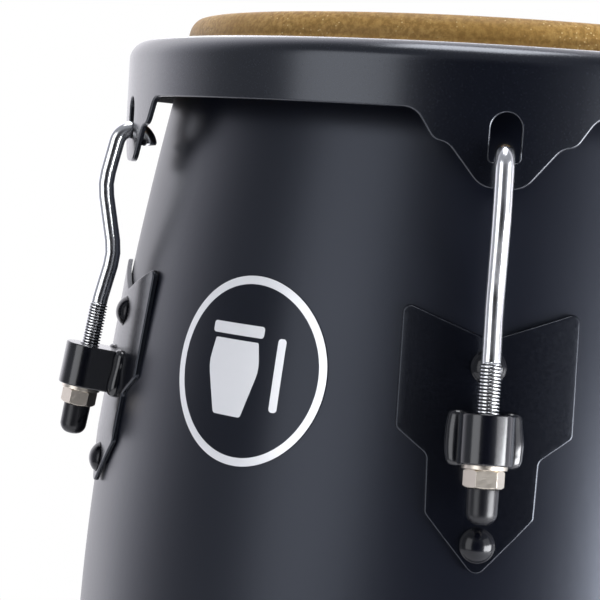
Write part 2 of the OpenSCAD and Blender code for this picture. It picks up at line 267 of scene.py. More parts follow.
def new_piece(name, verts, faces, place=Matrix.Identity(4)):
    """A mesh object from points and faces, with its place worked into its points."""
    mesh = bpy.data.meshes.new(name)
    mesh.from_pydata([place @ Vector(v) for v in verts], [], faces)
    bm = bmesh.new()
    bm.from_mesh(mesh)
    bmesh.ops.remove_doubles(bm, verts=bm.verts, dist=1e-7)
    bmesh.ops.recalc_face_normals(bm, faces=bm.faces)
    bm.to_mesh(mesh)
    bm.free()
    obj = bpy.data.objects.new(name, mesh)
    bpy.context.scene.collection.objects.link(obj)
    return obj


def grid_faces(rows, columns, wrap_rows=False, wrap_columns=False):
    """Quads between rows x columns of points."""
    faces = []
    for i in range(rows if wrap_rows else rows - 1):
        here, after = i * columns, (i + 1) % rows * columns
        for j in range(columns if wrap_columns else columns - 1):
            j2 = (j + 1) % columns
            faces.append((here + j, here + j2, after + j2, after + j))
    return faces


def bar_faces(rings, sides):
    """Faces of a bar made of rings of points, with a face over each end."""
    last = rings * sides - 1
    ends = [tuple(range(sides)), tuple(last - j for j in range(sides))]
    return grid_faces(rings, sides, wrap_columns=True) + ends


def lathe(outline, segments, ripple=None):
    """Points and faces of a closed (radius, height) outline turned about Z."""
    verts = []
    for j in range(segments):
        a = 2 * math.pi * j / segments
        for r, z in outline:
            point = polar(r, a, z)
            verts.append(point + ripple(point) if ripple else point)
    return verts, grid_faces(segments, len(outline), wrap_rows=True, wrap_columns=True)


def tube(path, radius, sides):
    """Points and faces of a round bar along (x, z) points. radius(distance, angle) shapes it."""
    points = [Vector((x, 0, z)) for x, z in path]
    across = Vector((0, 1, 0))
    verts = []
    distance = 0.0
    for i, point in enumerate(points):
        if i:
            distance += (point - points[i - 1]).length
        along = (points[min(i + 1, len(points) - 1)] - points[max(i - 1, 0)]).normalized()
        other = along.cross(across)
        for j in range(sides):
            a = 2 * math.pi * j / sides
            out = across * math.cos(a) + other * math.sin(a)
            verts.append(point + out * radius(distance, a))
    return verts, bar_faces(len(points), sides)


def cut(bm, axis, spacing):
    """Cuts a flat mesh across at even spaces, so that it can be bent."""
    normal = Vector((1, 0, 0)) if axis == 0 else Vector((0, 1, 0))
    low, high = min(v.co[axis] for v in bm.verts), max(v.co[axis] for v in bm.verts)
    count = int((high - low) / spacing)
    for i in range(1, count + 1):
        level = normal * (low + (high - low) * i / (count + 1))
        everything = bm.verts[:] + bm.edges[:] + bm.faces[:]
        bmesh.ops.bisect_plane(bm, geom=everything, plane_co=level, plane_no=normal, dist=1e-7)


def bent(bm, place):
    """Points and faces of a flat mesh once place(u, v, w) has bent it."""
    bm.verts.index_update()
    verts = [place(*v.co) for v in bm.verts]
    faces = [tuple(v.index for v in f.verts) for f in bm.faces]
    bm.free()
    return verts, faces


def rolled_edge(bm, outline, thickness, edge_r, closed=True):
    """Rows of vertices over a plate's edge, from its face's own outline to its back's."""
    angles = [math.radians(a) for a in (90, 60, 30, 0)] if edge_r else [0]
    rings = [(offset(outline, edge_r * (1 - math.cos(a)), closed), edge_r * (math.sin(a) - 1))
             for a in angles]
    rings.append((outline, -thickness))
    rows = [[bm.verts.new((x, y, w)) for x, y in points] for points, w in rings]
    for upper, lower in zip(rows, rows[1:]):
        for i in range(len(upper) if closed else len(upper) - 1):
            j = (i + 1) % len(upper)
            bm.faces.new((upper[i], lower[i], lower[j], upper[j]))
    return rows


def sheet(outline, thickness, edge_r, spacing, place):
    """A plate cut to an anticlockwise outline, its front edges rounded. w is 0 on its front."""
    bm = bmesh.new()
    rows = rolled_edge(bm, outline, thickness, edge_r)
    bm.faces.new(rows[0])
    bm.faces.new(reversed(rows[-1]))
    cut(bm, 0, spacing)
    cut(bm, 1, spacing)
    return bent(bm, place)


def join(parts):
    """Several (points, faces) pairs as one."""
    verts, faces = [], []
    for part_verts, part_faces in parts:
        faces += [tuple(i + len(verts) for i in face) for face in part_faces]
        verts += part_verts
    return verts, faces


def placed(part, place):
    """(points, faces) with a matrix worked into the points."""
    return [place @ Vector(v) for v in part[0]], part[1]


def even_faces(obj):
    """Keeps flat faces flat to the light where smooth edges run into them."""
    normals = obj.modifiers.new("flat_faces", "WEIGHTED_NORMAL")
    normals.keep_sharp = True


def soften(obj, width, segments, angle):
    """Rounds a piece's sharp edges a little, which catches the light along them."""
    bevel = obj.modifiers.new("soft_edges", "BEVEL")
    bevel.width = width
    bevel.segments = segments
    bevel.limit_method = "ANGLE"
    bevel.angle_limit = math.radians(angle)
    even_faces(obj)


# ---- materials ----

# The tints of the highlights: a little blue, as the photograph has them.
LACQUER_TINT = (0.8, 0.86, 1, 1)
POWDER_TINT = (0.82, 0.88, 1, 1)


def set_stops(node, stops):
    """Gives a colour ramp its (position, colour or grey) stops."""
    elements = node.color_ramp.elements
    while len(elements) < len(stops):
        elements.new(0.5)
    for element, (at, colour) in zip(elements, stops):
        element.position = at
        element.color = (*colour, 1) if isinstance(colour, tuple) else (colour,) * 3 + (1,)


class Finish:
    """A node material, built up from the Principled shader."""

    def __init__(self, name, **sockets):
        self.material = bpy.data.materials.new(name)
        self.material.use_nodes = True
        self.nodes = self.material.node_tree.nodes
        self.links = self.material.node_tree.links
        self.shader = self.nodes["Principled BSDF"]
        for socket, value in sockets.items():
            self.shader.inputs[socket.replace("_", " ")].default_value = value
        self.where = self.nodes.new("ShaderNodeTexCoord").outputs["Object"]
        self.last_bump = None

    def noise(self, scale, detail, rough=0.5, stretch=None):
        node = self.nodes.new("ShaderNodeTexNoise")
        node.inputs["Scale"].default_value = scale
        node.inputs["Detail"].default_value = detail
        node.inputs["Roughness"].default_value = rough
        where = self.where
        if stretch:
            mapping = self.nodes.new("ShaderNodeMapping")
            mapping.inputs["Scale"].default_value = stretch
            self.links.new(where, mapping.inputs["Vector"])
            where = mapping.outputs["Vector"]
        self.links.new(where, node.inputs["Vector"])
        return node.outputs["Fac"]

    def spots(self, scale):
        """The distance to the nearest of many scattered points."""
        node = self.nodes.new("ShaderNodeTexVoronoi")
        node.inputs["Scale"].default_value = scale
        self.links.new(self.where, node.inputs["Vector"])
        return node.outputs["Distance"]

    def ramp(self, value, *stops):
        node = self.nodes.new("ShaderNodeValToRGB")
        set_stops(node, stops)
        self.links.new(value, node.inputs["Fac"])
        return node.outputs["Color"]

    def blend(self, factor, a, b):
        """a where the factor is 0 and b where it is 1. Each is a colour or a node's output."""
        node = self.nodes.new("ShaderNodeMix")
        node.data_type = "RGBA"
        self.links.new(factor, node.inputs["Factor"])
        for socket, value in ((node.inputs[6], a), (node.inputs[7], b)):
            if isinstance(value, tuple):
                socket.default_value = (*value, 1)
            else:
                self.links.new(value, socket)
        return node.outputs[2]

    def feed(self, output, socket):
        self.links.new(output, self.shader.inputs[socket])

    def bump(self, height, strength, distance):
        """Adds relief on top of any relief that the material already has."""
        node = self.nodes.new("ShaderNodeBump")
        node.inputs["Strength"].default_value = strength
        node.inputs["Distance"].default_value = distance
        self.links.new(height, node.inputs["Height"])
        if self.last_bump:
            self.links.new(self.last_bump, node.inputs["Normal"])
        self.last_bump = node.outputs["Normal"]
        self.links.new(self.last_bump, self.shader.inputs["Normal"])


def lacquer():
    finish = Finish("shell_lacquer", Base_Color=(0.0014, 0.002, 0.0052, 1), Roughness=0.34,
                    Specular_Tint=LACQUER_TINT, Specular_IOR_Level=0.48)
    cloud = finish.noise(scale=9, detail=4)
    finish.feed(finish.ramp(cloud, (0.3, 0.32), (0.7, 0.36)), "Roughness")
    finish.bump(finish.noise(scale=260, detail=2), strength=0.06, distance=0.0004)
    return finish.material


def stave_wood():
    finish = Finish("stave_wood", Roughness=0.62)
    grain = finish.noise(scale=30, detail=6, rough=0.6, stretch=(7, 7, 0.5))
    colour = finish.ramp(grain, (0.3, (0.30, 0.17, 0.075)), (0.55, (0.44, 0.27, 0.13)),
                         (0.8, (0.52, 0.35, 0.18)))
    finish.feed(colour, "Base Color")
    finish.bump(grain, strength=0.3, distance=0.0006)
    return finish.material


def powder_coat(name, colour, roughness, coat, grain_scale, relief):
    finish = Finish(name, Base_Color=(*colour, 1), Roughness=roughness, Specular_Tint=POWDER_TINT,
                    Coat_Weight=coat, Coat_Roughness=0.2)
    grain = finish.noise(grain_scale, detail=3)
    finish.feed(finish.ramp(grain, (0.3, roughness - 0.03), (0.7, roughness + 0.03)), "Roughness")
    finish.bump(grain, relief, distance=0.0003)
    return finish.material


def enamel(name, gloss):
    finish = Finish(name, Base_Color=(0.002, 0.0024, 0.0045, 1), Roughness=0.2,
                    Specular_IOR_Level=gloss, Coat_Weight=gloss * 0.6, Coat_Roughness=0.08)
    finish.bump(finish.noise(scale=420, detail=2), strength=0.04, distance=0.0003)
    return finish.material


def plated(name, colour, roughness, streak=None):
    finish = Finish(name, Base_Color=(*colour, 1), Metallic=1.0, Roughness=roughness)
    marks = finish.noise(scale=500, detail=3, rough=0.6, stretch=streak)
    finish.feed(finish.ramp(marks, (0.35, roughness * 0.85), (0.75, roughness * 1.2)), "Roughness")
    finish.bump(marks, strength=0.01, distance=0.0001)
    return finish.material


def rubber(name, colour, roughness):
    finish = Finish(name, Base_Color=(*colour, 1), Roughness=roughness, Specular_IOR_Level=0.45)
    wear = finish.noise(scale=120, detail=4)
    finish.feed(finish.ramp(wear, (0.3, roughness - 0.06), (0.75, roughness + 0.08)), "Roughness")
    finish.bump(finish.noise(scale=900, detail=2), strength=0.08, distance=0.0002)
    return finish.material


def rawhide():
    """Clouded tan with a fine dark mottle, and patches of pale specks."""
    finish = Finish("rawhide", Roughness=0.5, Specular_IOR_Level=0.2, Subsurface_Weight=0.06,
                    Subsurface_Scale=0.003)
    clouds = finish.ramp(finish.noise(scale=22, detail=5, rough=0.6), (0.25, (0.31, 0.176, 0.046)),
                         (0.5, (0.385, 0.228, 0.064)), (0.8, (0.485, 0.3, 0.1)))
    fine = finish.noise(scale=520, detail=4, rough=0.6)
    light = finish.ramp(fine, (0.40, 0.0), (0.62, 1.0))
    mottled = finish.blend(light, (0.26, 0.144, 0.035), clouds)
    pores = finish.ramp(finish.spots(560), (0.12, 1.0), (0.22, 0.0))
    patches = finish.ramp(finish.noise(scale=60, detail=2), (0.44, 0.0), (0.56, 1.0))
    specks = finish.blend(patches, (0.0, 0.0, 0.0), pores)
    finish.feed(finish.blend(specks, mottled, (0.6, 0.44, 0.2)), "Base Color")
    finish.bump(fine, strength=0.2, distance=0.0006)
    finish.bump(finish.noise(scale=70, detail=3), strength=0.2, distance=0.0015)
    return finish.material


def foil():
    finish = Finish("badge_foil", Base_Color=(0.0025, 0.0032, 0.0065, 1), Roughness=0.24,
                    Specular_Tint=LACQUER_TINT, Specular_IOR_Level=0.36)
    finish.bump(finish.noise(scale=60, detail=2), strength=0.02, distance=0.0005)
    return finish.material


def silver_print():
    finish = Finish("silver_print", Base_Color=(0.8, 0.805, 0.815, 1), Roughness=0.3,
                    Metallic=0.25, Coat_Weight=0.5, Coat_Roughness=0.08)
    finish.bump(finish.noise(scale=900, detail=2), strength=0.04, distance=0.0001)
    return finish.material


LACQUER = lacquer()
WOOD = stave_wood()
RIM_COAT = powder_coat("rim_powder_coat", (0.002, 0.0026, 0.005), roughness=0.25, coat=0.4,
                       grain_scale=1500, relief=0.012)
PLATE_COAT = powder_coat("plate_powder_coat", (0.0016, 0.002, 0.004), roughness=0.24, coat=0.0,
                         grain_scale=900, relief=0.008)
ENAMEL = enamel("block_enamel", gloss=0.55)
BOLT_ENAMEL = enamel("bolt_enamel", gloss=0.28)
CHROME = plated("rod_chrome", (0.8, 0.805, 0.815), roughness=0.2)
# Dark chrome for the thread's roots: grease, plus painted shade where the teeth shade the grooves.
GROOVE_GREASE_AND_SHADE = plated("thread_grease_and_painted_shade", (0.07, 0.068, 0.07), roughness=0.5)
NICKEL = plated("nickel_plate", (0.66, 0.6, 0.52), roughness=0.37, streak=(1, 1, 5))
ZINC = plated("zinc_plate", (0.62, 0.63, 0.66), roughness=0.34)
CAP_RUBBER = rubber("cap_rubber", (0.004, 0.0042, 0.006), roughness=0.32)
FOOT_RUBBER = rubber("foot_rubber", (0.022, 0.022, 0.023), roughness=0.62)
HIDE = rawhide()
FOIL = foil()
PRINT = silver_print()


# ---- shell, foot and head ----

def make_shell():
    """The lacquered outside, the bearing edge under the hide, and the bare wood inside."""
    steps = 120
    heights = [FOOT_T + (SHELL_TOP - FOOT_T) * i / steps for i in range(steps + 1)]
    side = [(shell_r(z), z) for z in heights]
    edge = arc(HEAD_R - SHOULDER_W, DRUM_H - SHOULDER_H, SHOULDER_W - HIDE_T,
               SHOULDER_H - HIDE_T, 0, 90, 10)
    bearing = [(BEARING_R, DRUM_H - HIDE_T - BEARING_DROP), (BEARING_R, BEARING_FOOT)]
    lining = [(r - WALL, z) for r, z in reversed(side[:-1])]
    shell = new_piece("shell_body", *lathe(side + edge + bearing + lining, 288))
    finish_piece(shell, "drum", [LACQUER, WOOD], 30)
    for face in shell.data.polygons:
        middle = face.center
        outside = math.hypot(middle.x, middle.y) > shell_r(middle.z) - WALL / 2
        face.material_index = 0 if outside and middle.z < SHELL_TOP else 1
    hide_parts("shell")


def make_foot():
    """A rubber ring round the bottom edge, with a lip inside."""
    low_r, high_r = shell_r(FOOT_T), shell_r(FOOT_H)
    gap = 0.05 * MM
    outline = rounded([
        (FOOT_MOUTH_R, 0, 0.5 * MM),
        (low_r + 2.5 * MM, 0, 2 * MM),
        (high_r + 2 * MM, FOOT_H, 1 * MM),
        (high_r + gap, FOOT_H, 0),
        (low_r + gap, FOOT_T, 0),
        (low_r - WALL, FOOT_T, 0),
        (shell_r(FOOT_LIP) - WALL - gap, FOOT_LIP, 0),
        (FOOT_MOUTH_R, FOOT_LIP, 0.5 * MM),
    ])
    foot = new_piece("foot_rubber_ring", *lathe(outline, 192))
    finish_piece(foot, "drum", [FOOT_RUBBER])
    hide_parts("foot_ring")


def make_head():
    """The hide: nearly flat, with a soft shoulder, and wrapped under and over the flesh hoop."""
    hoop_z = RIM_TOP - RIM_T - 0.1 * MM - HOOP_WIRE_R - HIDE_T
    wrap_r = HOOP_WIRE_R + HIDE_T
    shoulder = (HEAD_R - SHOULDER_W, DRUM_H - SHOULDER_H)
    top = [(shoulder[0] * i / 24, DRUM_H) for i in range(24)]
    outside = arc(*shoulder, SHOULDER_W, SHOULDER_H, 90, 0, 16)
    round_hoop = arc(HOOP_R, hoop_z, HOOP_WIRE_R, HOOP_WIRE_R, 180, 430, 24)
    back = arc(HOOP_R, hoop_z, wrap_r, wrap_r, 430, 185, 24)
    inside = arc(*shoulder, SHOULDER_W - HIDE_T, SHOULDER_H - HIDE_T, 0, 90, 12)
    outline = top + outside + round_hoop + back + inside + [(0, DRUM_H - HIDE_T)]

    def uneven(point):
        """A natural hide's small swellings, growing from HIDE_FLAT_R out to the shoulder."""
        out = Vector((point.x, point.y, 0))
        swell = noise.noise(point * 34) * 0.35 + noise.noise(point * 110) * 0.12
        grown = clamp((out.length - HIDE_FLAT_R) / (30 * MM)) if point.z > RIM_TOP else 0.0
        return out.normalized() * swell * MM * grown

    head = new_piece("rawhide_head", *lathe(outline, 288, uneven))
    finish_piece(head, "drum", [HIDE], 60)
    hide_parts("hide_head")


# ---- rim ----

def ear_outline(reach):
    """The rim's lower edge from left to right, and which of its points is the ear's tip."""
    corners = [(x * MM, -y * MM, r * MM) for x, y, r in reversed(EAR_CORNERS)]
    ends = [(EAR_END, -BAND_H, 0), (reach, -BAND_H, 0)]
    right = rounded([(0, -EAR_H, 0), *corners, *ends], closed=False, steps=16)
    left = [(-x, y) for x, y in reversed(right[1:])]
    return left + right, len(left)


def slot_outline():
    """An ear's slot from the middle of its top, and which of its points is its floor's middle."""
    half = SLOT_W / 2
    right = arc(0, -BAND_H - half, half, half, 90, 0, 10)
    right += rounded([(half, -SLOT_FLOOR + 2 * SLOT_CORNER, 0), (half, -SLOT_FLOOR, SLOT_CORNER),
                      (0, -SLOT_FLOOR, 0)], closed=False)
    return right + [(-x, y) for x, y in reversed(right[1:-1])], len(right) - 1


def rim_profile():
    """(out, up) points over the shoulder, across the dished top, and back along the underside."""
    lip, inner_round = RIM_R - RIM_MOUTH_R, RIM_ROUND - RIM_T
    profile = arc(-RIM_ROUND, -RIM_ROUND, RIM_ROUND, RIM_ROUND, 0, 90, 12)
    profile += arc(LIP_ROUND - lip, -RIM_DISH - LIP_ROUND, LIP_ROUND, LIP_ROUND, 90, 180, 3)
    profile.append((-lip, -RIM_T))
    return profile + arc(-RIM_ROUND, -RIM_ROUND, inner_round, inner_round, 90, 0, 8)


def rim_sector(k):
    """A fifth of the rim, flattened out round lug k: u sideways, v up from the top, w out."""
    bm = bmesh.new()
    reach = math.pi * RIM_R / len(LUGS)
    foot, tip = ear_outline(reach)
    slot, base = slot_outline()
    foot_rows = rolled_edge(bm, foot, RIM_T, PLATE_EDGE_R, closed=False)
    slot_rows = rolled_edge(bm, slot, RIM_T, PLATE_EDGE_R)
    rows = [[bm.verts.new((u, v, w)) for u in (-reach, 0, reach)]
            for w, v in [(0, -BAND_FLAT), *rim_profile(), (-RIM_T, -BAND_FLAT)]]
    for upper, lower in zip(rows, rows[1:]):
        for i in (0, 1):
            bm.faces.new((upper[i], upper[i + 1], lower[i + 1], lower[i]))
    # The band's two faces, each in two halves that meet in the slot.
    for i in (0, -1):
        edge, hole, top = foot_rows[i], slot_rows[i], rows[i]
        bm.faces.new([*edge[:tip + 1], *hole[base:], hole[0], top[1], top[0]])
        bm.faces.new([*edge[tip:], top[2], top[1], *hole[:base + 1]])
    cut(bm, 0, spacing=2.2 * MM)

    def place(u, v, w):
        return polar(RIM_R + w, lug_azimuth(k) + u / RIM_R, RIM_TOP + v)

    return bent(bm, place)


def make_rim():
    """One piece of pressed steel: dished top, rounded shoulder, band, and five slotted ears."""
    rim = new_piece("rim_steel", *join([rim_sector(k) for k in LUGS]))
    finish_piece(rim, "rim", [RIM_COAT], 50)
    even_faces(rim)
    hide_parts("rim")


# ---- lugs ----

def make_plate(k):
    """A notched steel plate, bent to the shell's curve sideways and straight up its lean."""
    outline = rounded(mirrored(PLATE_CORNERS) + [PLATE_NOTCH])
    outline = [(x * MM, -y * MM) for x, y in reversed(outline)]

    def bend(u, v, w):
        z = RIM_TOP + v
        r = plate_r(z) + w
        return lug_frame(k) @ polar(r, u / r, z)

    plate = new_piece(f"side_plate_{k}_steel",
                      *sheet(outline, PLATE_T, PLATE_EDGE_R, 3 * MM, bend))
    finish_piece(plate, "drum", [PLATE_COAT], 50)
    even_faces(plate)
    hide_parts(f"side_plate_{k}")


def ring_prism(reach, levels, angles):
    """A prism drilled for the rod. reach(angle) is its outline, levels its (height, inset) rows."""
    verts = []
    for a in angles:
        verts.append(polar(BORE_R, a, levels[0][0]))
        verts += [polar(reach(a) - inset, a, z) for z, inset in levels]
        verts.append(polar(BORE_R, a, levels[-1][0]))
    return verts, grid_faces(len(angles), len(levels) + 2, wrap_rows=True, wrap_columns=True)


def make_block(k):
    """The block that the rod runs through: round in front, square at the plate."""
    corner = math.atan2(BLOCK_R, -BLOCK_BACK)

    def reach(a):
        if abs(a) <= math.pi / 2:
            return BLOCK_R
        if abs(math.sin(a)) < 1e-6:
            return BLOCK_BACK
        return min(BLOCK_R / abs(math.sin(a)), BLOCK_BACK / abs(math.cos(a)))

    front = [math.radians(a) for a in range(-90, 91, 5)]
    side = [corner * 0.75 + math.pi / 8, corner, (corner + math.pi) / 2]
    angles = front + side + [math.pi] + [-a for a in reversed(side)]
    part = ring_prism(reach, [(-BLOCK_H, 0), (0, 0)], angles)
    block = new_piece(f"lug_block_{k}_steel", *part, rod_frame(k))
    finish_piece(block, "drum", [ENAMEL], 35)
    soften(block, 0.5 * MM, segments=3, angle=35)
    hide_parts(f"lug_block_{k}")


def weld_bead(side, seed):
    """A hand-laid bead down the corner between a block's side and its plate."""
    length = BLOCK_H + 2 * WELD_OVERRUN
    rings, sides = 64, 24
    verts = []
    for i in range(rings + 1):
        s = i / rings
        z = WELD_OVERRUN - length * s
        taper = 0.3 + 0.7 * math.sqrt(max(1 - abs(2 * s - 1) ** 7, 0.0))
        wander = noise.noise(Vector((s * 2.6, seed * 5.7, side))) * WELD_WANDER
        leg = (WELD_LEG + wander) * taper
        depth = (WELD_DEPTH + wander * 0.6) * taper
        x = WELD_X - math.tan(ROD_LEAN - PLATE_LEAN) * z
        y = side * (BLOCK_R - 0.4 * MM)
        for j in range(sides):
            a = 2 * math.pi * j / sides
            verts.append((x + depth * math.cos(a), y + leg * math.sin(a), z))
    return verts, bar_faces(rings + 1, sides)


def make_welds():
    beads = [placed(weld_bead(side, k), rod_frame(k)) for k in LUGS for side in (-1, 1)]
    welds = new_piece("weld_beads", *join(beads))
    finish_piece(welds, "drum", [ENAMEL], 60)
    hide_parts("lug_welds")


def rod_path():
    """(radius, height) points up the rod in the lug's plane: the thread, two bends, the hook."""
    nut = Vector(joints["nut_1_turn"]["pos_m"])
    origin = Vector((math.hypot(nut.x, nut.y), nut.z))
    up = Vector((-math.sin(ROD_LEAN), math.cos(ROD_LEAN)))
    steps = int(THREAD_LENGTH / PITCH * 12)
    thread = [origin + up * (THREAD_FOOT + THREAD_LENGTH * i / steps) for i in range(steps + 1)]
    hook = arc(*HOOK_MIDDLE, HOOK_R, HOOK_R, HOOK_FROM, HOOK_TO, 28)
    shank = rounded([
        (*thread[-1], 0),
        (*(thread[-1] + up * 2 * MM), BEND_R),
        *[(*point, BEND_R) for point in BENDS],
        (*hook[0], 0),
    ], closed=False)
    return [tuple(p) for p in thread] + shank[1:-1] + hook


def subdivided(path, spacing):
    """A path with points put in wherever two are further apart than the spacing."""
    fine = []
    for a, b in zip(path, path[1:]):
        pieces = max(1, round((Vector(b) - Vector(a)).length / spacing))
        fine += [(a[0] + (b[0] - a[0]) * i / pieces, a[1] + (b[1] - a[1]) * i / pieces)
                 for i in range(pieces)]
    return fine + [path[-1]]


def make_hook(k):
    """A tension rod: a plain shank with a cut thread below and a hook over the rim's ear above."""
    path = subdivided(rod_path(), 2.5 * MM)
    total = sum((Vector(b) - Vector(a)).length for a, b in zip(path, path[1:]))

    def radius(distance, angle):
        chamfer = min(1.0, (distance + 1.2 * MM) / (2.2 * MM),
                      (total - distance + 2.6 * MM) / (3 * MM))
        if distance >= THREAD_LENGTH:
            return SHANK_R * chamfer
        phase = (distance / PITCH + angle / (2 * math.pi)) % 1.0
        ridge = clamp((0.36 - abs(phase - 0.5)) / 0.14)
        runout = min(1.0, (THREAD_LENGTH - distance) / (1.5 * MM))
        tooth = THREAD_ROOT_R + (THREAD_R - THREAD_ROOT_R) * ridge
        return (SHANK_R + (tooth - SHANK_R) * runout) * chamfer

    hook = new_piece(f"tension_hook_{k}_rod", *tube(path, radius, 32), lug_frame(k))
    finish_piece(hook, f"hook_{k}", [CHROME, GROOVE_GREASE_AND_SHADE], 50)
    # The faces in the thread's roots take the dark chrome: grease, plus painted shade in the
    # grooves between the teeth.
    to_rod = rod_frame(k).inverted()
    for face in hook.data.polygons:
        spot = to_rod @ face.center
        if spot.z < THREAD_TOP and math.hypot(spot.x, spot.y) < THREAD_ROOT_R + 0.3 * MM:
            face.material_index = 1
    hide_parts(f"tension_hook_{k}")


def make_washer(k):
    low = WASHER_TOP - WASHER_T
    levels = [(low, WASHER_EDGE), (low + WASHER_EDGE, 0), (WASHER_TOP - WASHER_EDGE, 0),
              (WASHER_TOP, WASHER_EDGE)]
    angles = [math.radians(a) for a in range(0, 360, 5)]
    part = ring_prism(lambda a: WASHER_R, levels, angles)
    washer = new_piece(f"washer_{k}_nickel", *part, rod_frame(k))
    finish_piece(washer, "drum", [NICKEL], 30)
    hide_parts(f"tuning_washer_{k}")


def make_nut(k):
    """A hexagon nut: flats, chamfered corners at both ends and a countersunk thread."""
    half = NUT_AF / 2
    crown_r = half * 1.02
    slope = math.tan(math.radians(32))
    edge = 0.1 * MM

    def flat(a):
        folded = (a + math.pi / 6) % (math.pi / 3) - math.pi / 6
        return half / math.cos(folded)

    verts = []
    angles = [math.radians(a) for a in range(0, 360, 3)]
    for a in angles:
        drop = max(0.0, flat(a) - crown_r) * slope
        rows = [(BORE_R, 0.5 * MM), (NUT_MOUTH_R, 0), (min(flat(a), crown_r) - edge, 0),
                (flat(a), drop + edge)]
        rows += [(r, NUT_H - z) for r, z in reversed(rows)]
        verts += [polar(r, a, NUT_TOP - NUT_H + z) for r, z in rows]
    faces = grid_faces(len(angles), len(rows), wrap_rows=True, wrap_columns=True)
    turn = Matrix.Rotation(math.radians(NUT_TURNS[k - 1]), 4, "Z")
    nut = new_piece(f"tuning_nut_{k}_nickel", verts, faces, rod_frame(k) @ turn)
    finish_piece(nut, f"nut_{k}", [NICKEL], 22)
    soften(nut, 0.12 * MM, segments=2, angle=25)
    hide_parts(f"tuning_nut_{k}")


def make_cap(k):
    """A dip-moulded cap: a soft lip, a straight side and a domed end."""
    outline = rounded([
        (BORE_R, CAP_TOP, 0.3 * MM),
        (BORE_R, CAP_TOP - CAP_BORE_DEPTH, 0.4 * MM),
        (0, CAP_TOP - CAP_BORE_DEPTH, 0),
        (0, CAP_TOP - CAP_H, 0),
        (CAP_R - 0.2 * MM, CAP_TOP - CAP_H, CAP_DOME_R),
        (CAP_R, CAP_TOP - 2 * MM, 0),
        (CAP_R, CAP_TOP, 0.5 * MM),
    ], steps=10)
    cap = new_piece(f"rod_cap_{k}_rubber", *lathe(outline, 64), rod_frame(k))
    finish_piece(cap, f"cap_{k}", [CAP_RUBBER], 50)
    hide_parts(f"rod_cap_{k}")


def bolt_frame(k, depth):
    """A bolt of plate k: Z points out of the shell and the origin is on the plate's face."""
    z = RIM_TOP - depth
    return (lug_frame(k) @ Matrix.Translation((plate_r(z), 0, z))
            @ Matrix.Rotation(math.pi / 2 - PLATE_LEAN, 4, "Y"))


def make_bolts(k):
    """Two bolts with plain domed heads."""
    ball = (BOLT_HEAD_R ** 2 + BOLT_HEAD_H ** 2) / (2 * BOLT_HEAD_H)
    low = math.degrees(math.asin((ball - BOLT_HEAD_H + 0.5 * MM) / ball))
    dome = arc(0, BOLT_HEAD_H - ball, ball, ball, low, 90, 22)
    shank = [(0, -BOLT_LENGTH), (BOLT_R - 0.4 * MM, -BOLT_LENGTH),
             (BOLT_R, -BOLT_LENGTH + 0.6 * MM), (BOLT_R, 0),
             (BOLT_HEAD_R - 0.2 * MM, 0.02 * MM), (BOLT_HEAD_R, 0.2 * MM)]
    bolt = lathe(shank + dome, 56)
    bolts = new_piece(f"plate_bolts_{k}_steel",
                      *join([placed(bolt, bolt_frame(k, depth)) for depth in BOLT_DEPTHS]))
    finish_piece(bolts, "drum", [BOLT_ENAMEL], 45)
    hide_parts(f"plate_bolts_{k}")


# ---- badge ----

# Closed (x, y, corner radius) outlines in mm: a drum's rim, its body, and a stick beside it.
SIGNS = [
    [(-19, 13, 1.2), (7, 13, 1.2), (7, 17.5, 1.2), (-19, 17.5, 1.2)],
    [(-17, 11.2, 0.8), (-19, 1, 14), (-13, -18, 1.5), (1, -18, 1.5), (7, 1, 14), (5, 11.2, 0.8)],
    [(14, -14, 1.4), (17.6, -14, 1.4), (17.6, 14, 1.4), (14, 14, 1.4)],
]


def on_shell(u, v, w):
    """A point of the badge: u sideways and v up from its middle, w out from the shell."""
    z = BADGE_Z + v
    r = shell_r(z) + w
    return BADGE_TURN @ Vector((u, -math.sqrt(r * r - u * u), z))


def printed(u, v, w):
    """A point of the badge's print, where w is 0 on the print's face."""
    return on_shell(u, v, w + PRINT_FACE)


def make_badge():
    """A round foil with a printed ring and a plain drum sign."""
    turns = [2 * math.pi * i / 144 for i in range(144)]
    low, high = BADGE_GAP, BADGE_GAP + BADGE_T
    radii = [BADGE_R * i / 18 for i in range(19)]
    rows = [(r, low) for r in radii] + [(r, high) for r in reversed(radii)]
    verts = [on_shell(r * math.cos(a), r * math.sin(a), w) for a in turns for r, w in rows]
    badge = new_piece("badge_disc", verts, grid_faces(len(turns), len(rows), wrap_rows=True))
    finish_piece(badge, "drum", [FOIL], 40)
    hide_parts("badge")

    inner, outer = BADGE_R - BADGE_RING_W, BADGE_R - 0.1 * MM
    rows = [(inner, -PRINT_T), (inner, 0), (outer, 0), (outer, -PRINT_T)]
    verts = [printed(r * math.cos(a), r * math.sin(a), w) for a in turns for r, w in rows]
    faces = grid_faces(len(turns), len(rows), wrap_rows=True, wrap_columns=True)
    parts = [(verts, faces)]
    for sign in SIGNS:
        outline = [(x * MM, y * MM) for x, y in rounded(sign)]
        parts.append(sheet(outline, PRINT_T, 0, 2 * MM, printed))
    finish_piece(new_piece("badge_print", *join(parts)), "drum", [PRINT], 40)


# ---- pieces that stay as the CAD made them ----

def finish_cad_node(name, material):
    obj = frame["nodes"][name]
    obj.data.materials.clear()
    obj.data.materials.append(material)


make_shell()
make_foot()
make_head()
make_rim()
make_welds()
make_badge()
for lug in LUGS:
    make_plate(lug)
    make_block(lug)
    make_hook(lug)
    make_washer(lug)
    make_nut(lug)
    make_cap(lug)
    make_bolts(lug)
    finish_cad_node(f"backing_plate_{lug}", ZINC)
for hardware in ("flesh_hoop", "bolt_washers", "bolt_nuts"):
    finish_cad_node(hardware, ZINC)


# ---- studio ----

